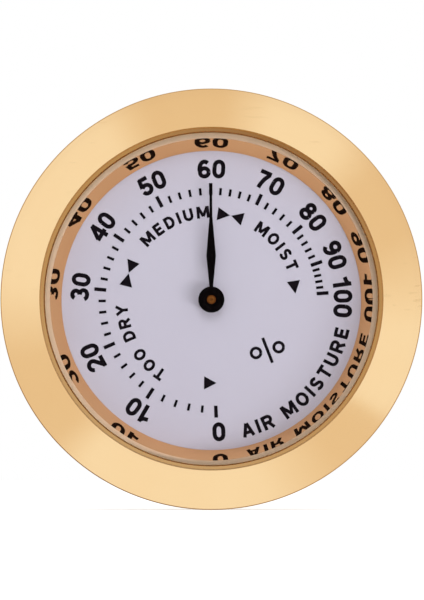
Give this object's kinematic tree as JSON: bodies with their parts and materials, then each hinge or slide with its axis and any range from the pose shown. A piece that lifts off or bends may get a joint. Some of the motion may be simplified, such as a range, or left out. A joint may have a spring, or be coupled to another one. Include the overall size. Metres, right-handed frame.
{
  "type": "dial hygrometer",
  "caption": "Round panel-insert dial hygrometer with a polished gold bezel, mirror ring, flat lens, black pointer, humidity coil, rear adjuster and ribbed rubber retaining band.",
  "frame": {"origin": "centre of the flat seat behind the bezel's flange, on the instrument's axis", "axes": "the dial faces -Y, the case reaches back along +Y, twelve o'clock on the dial is +Z and three o'clock is +X"},
  "size_m": [0.045, 0.0127, 0.045],
  "materials": {
    "polished_gold": "polished gold plate",
    "case_gold": "bright drawn, gold plated",
    "mirror_gold": "mirror polished",
    "lens_glass": "clear",
    "gasket_ivory": "matt",
    "dial_white": "satin white",
    "dial_ink": "printed ink",
    "pointer_black": "satin black",
    "spindle_bronze": "turned",
    "brass": "turned",
    "bridge_brass": "stamped sheet",
    "steel": "bright",
    "coil_strip": "coated strip",
    "band_rubber": "moulded"
  },
  "bodies": {
    "case_body": {"case": "case_gold", "bezel": "polished_gold", "lens": "lens_glass", "lens_gasket": "gasket_ivory", "reflector_ring": "mirror_gold", "dial_plate": "dial_white", "scale_marks": "dial_ink", "front_bush": "brass", "bridge": "bridge_brass", "pillars": "brass", "bridge_screws": "steel", "rear_bush": "brass", "spring_washer": "steel", "retaining_band": "band_rubber"},
    "adjuster": {"adjuster_stud": "brass", "anchor_arm": "bridge_brass", "coil_rivet": "brass", "humidity_coil": "coil_strip"},
    "pointer_assembly": {"pointer": "pointer_black", "pointer_bush": "brass", "spindle": "spindle_bronze", "collet": "brass"}
  },
  "joints": [
    {"name": "adjuster_turn", "type": "hinge", "parent": "case_body", "child": "adjuster", "pos_m": [0, 0.0085, 0], "axis": [0, 1, 0], "range_deg": [-25, 25]},
    {"name": "pointer_turn", "type": "hinge", "parent": "adjuster", "child": "pointer_assembly", "pos_m": [0, 0, 0], "axis": [0, 1, 0], "range_deg": [-182.1, 86.7], "stiffness_Nm_per_rad": 0.00021, "deforming": ["humidity_coil"]}
  ]
}
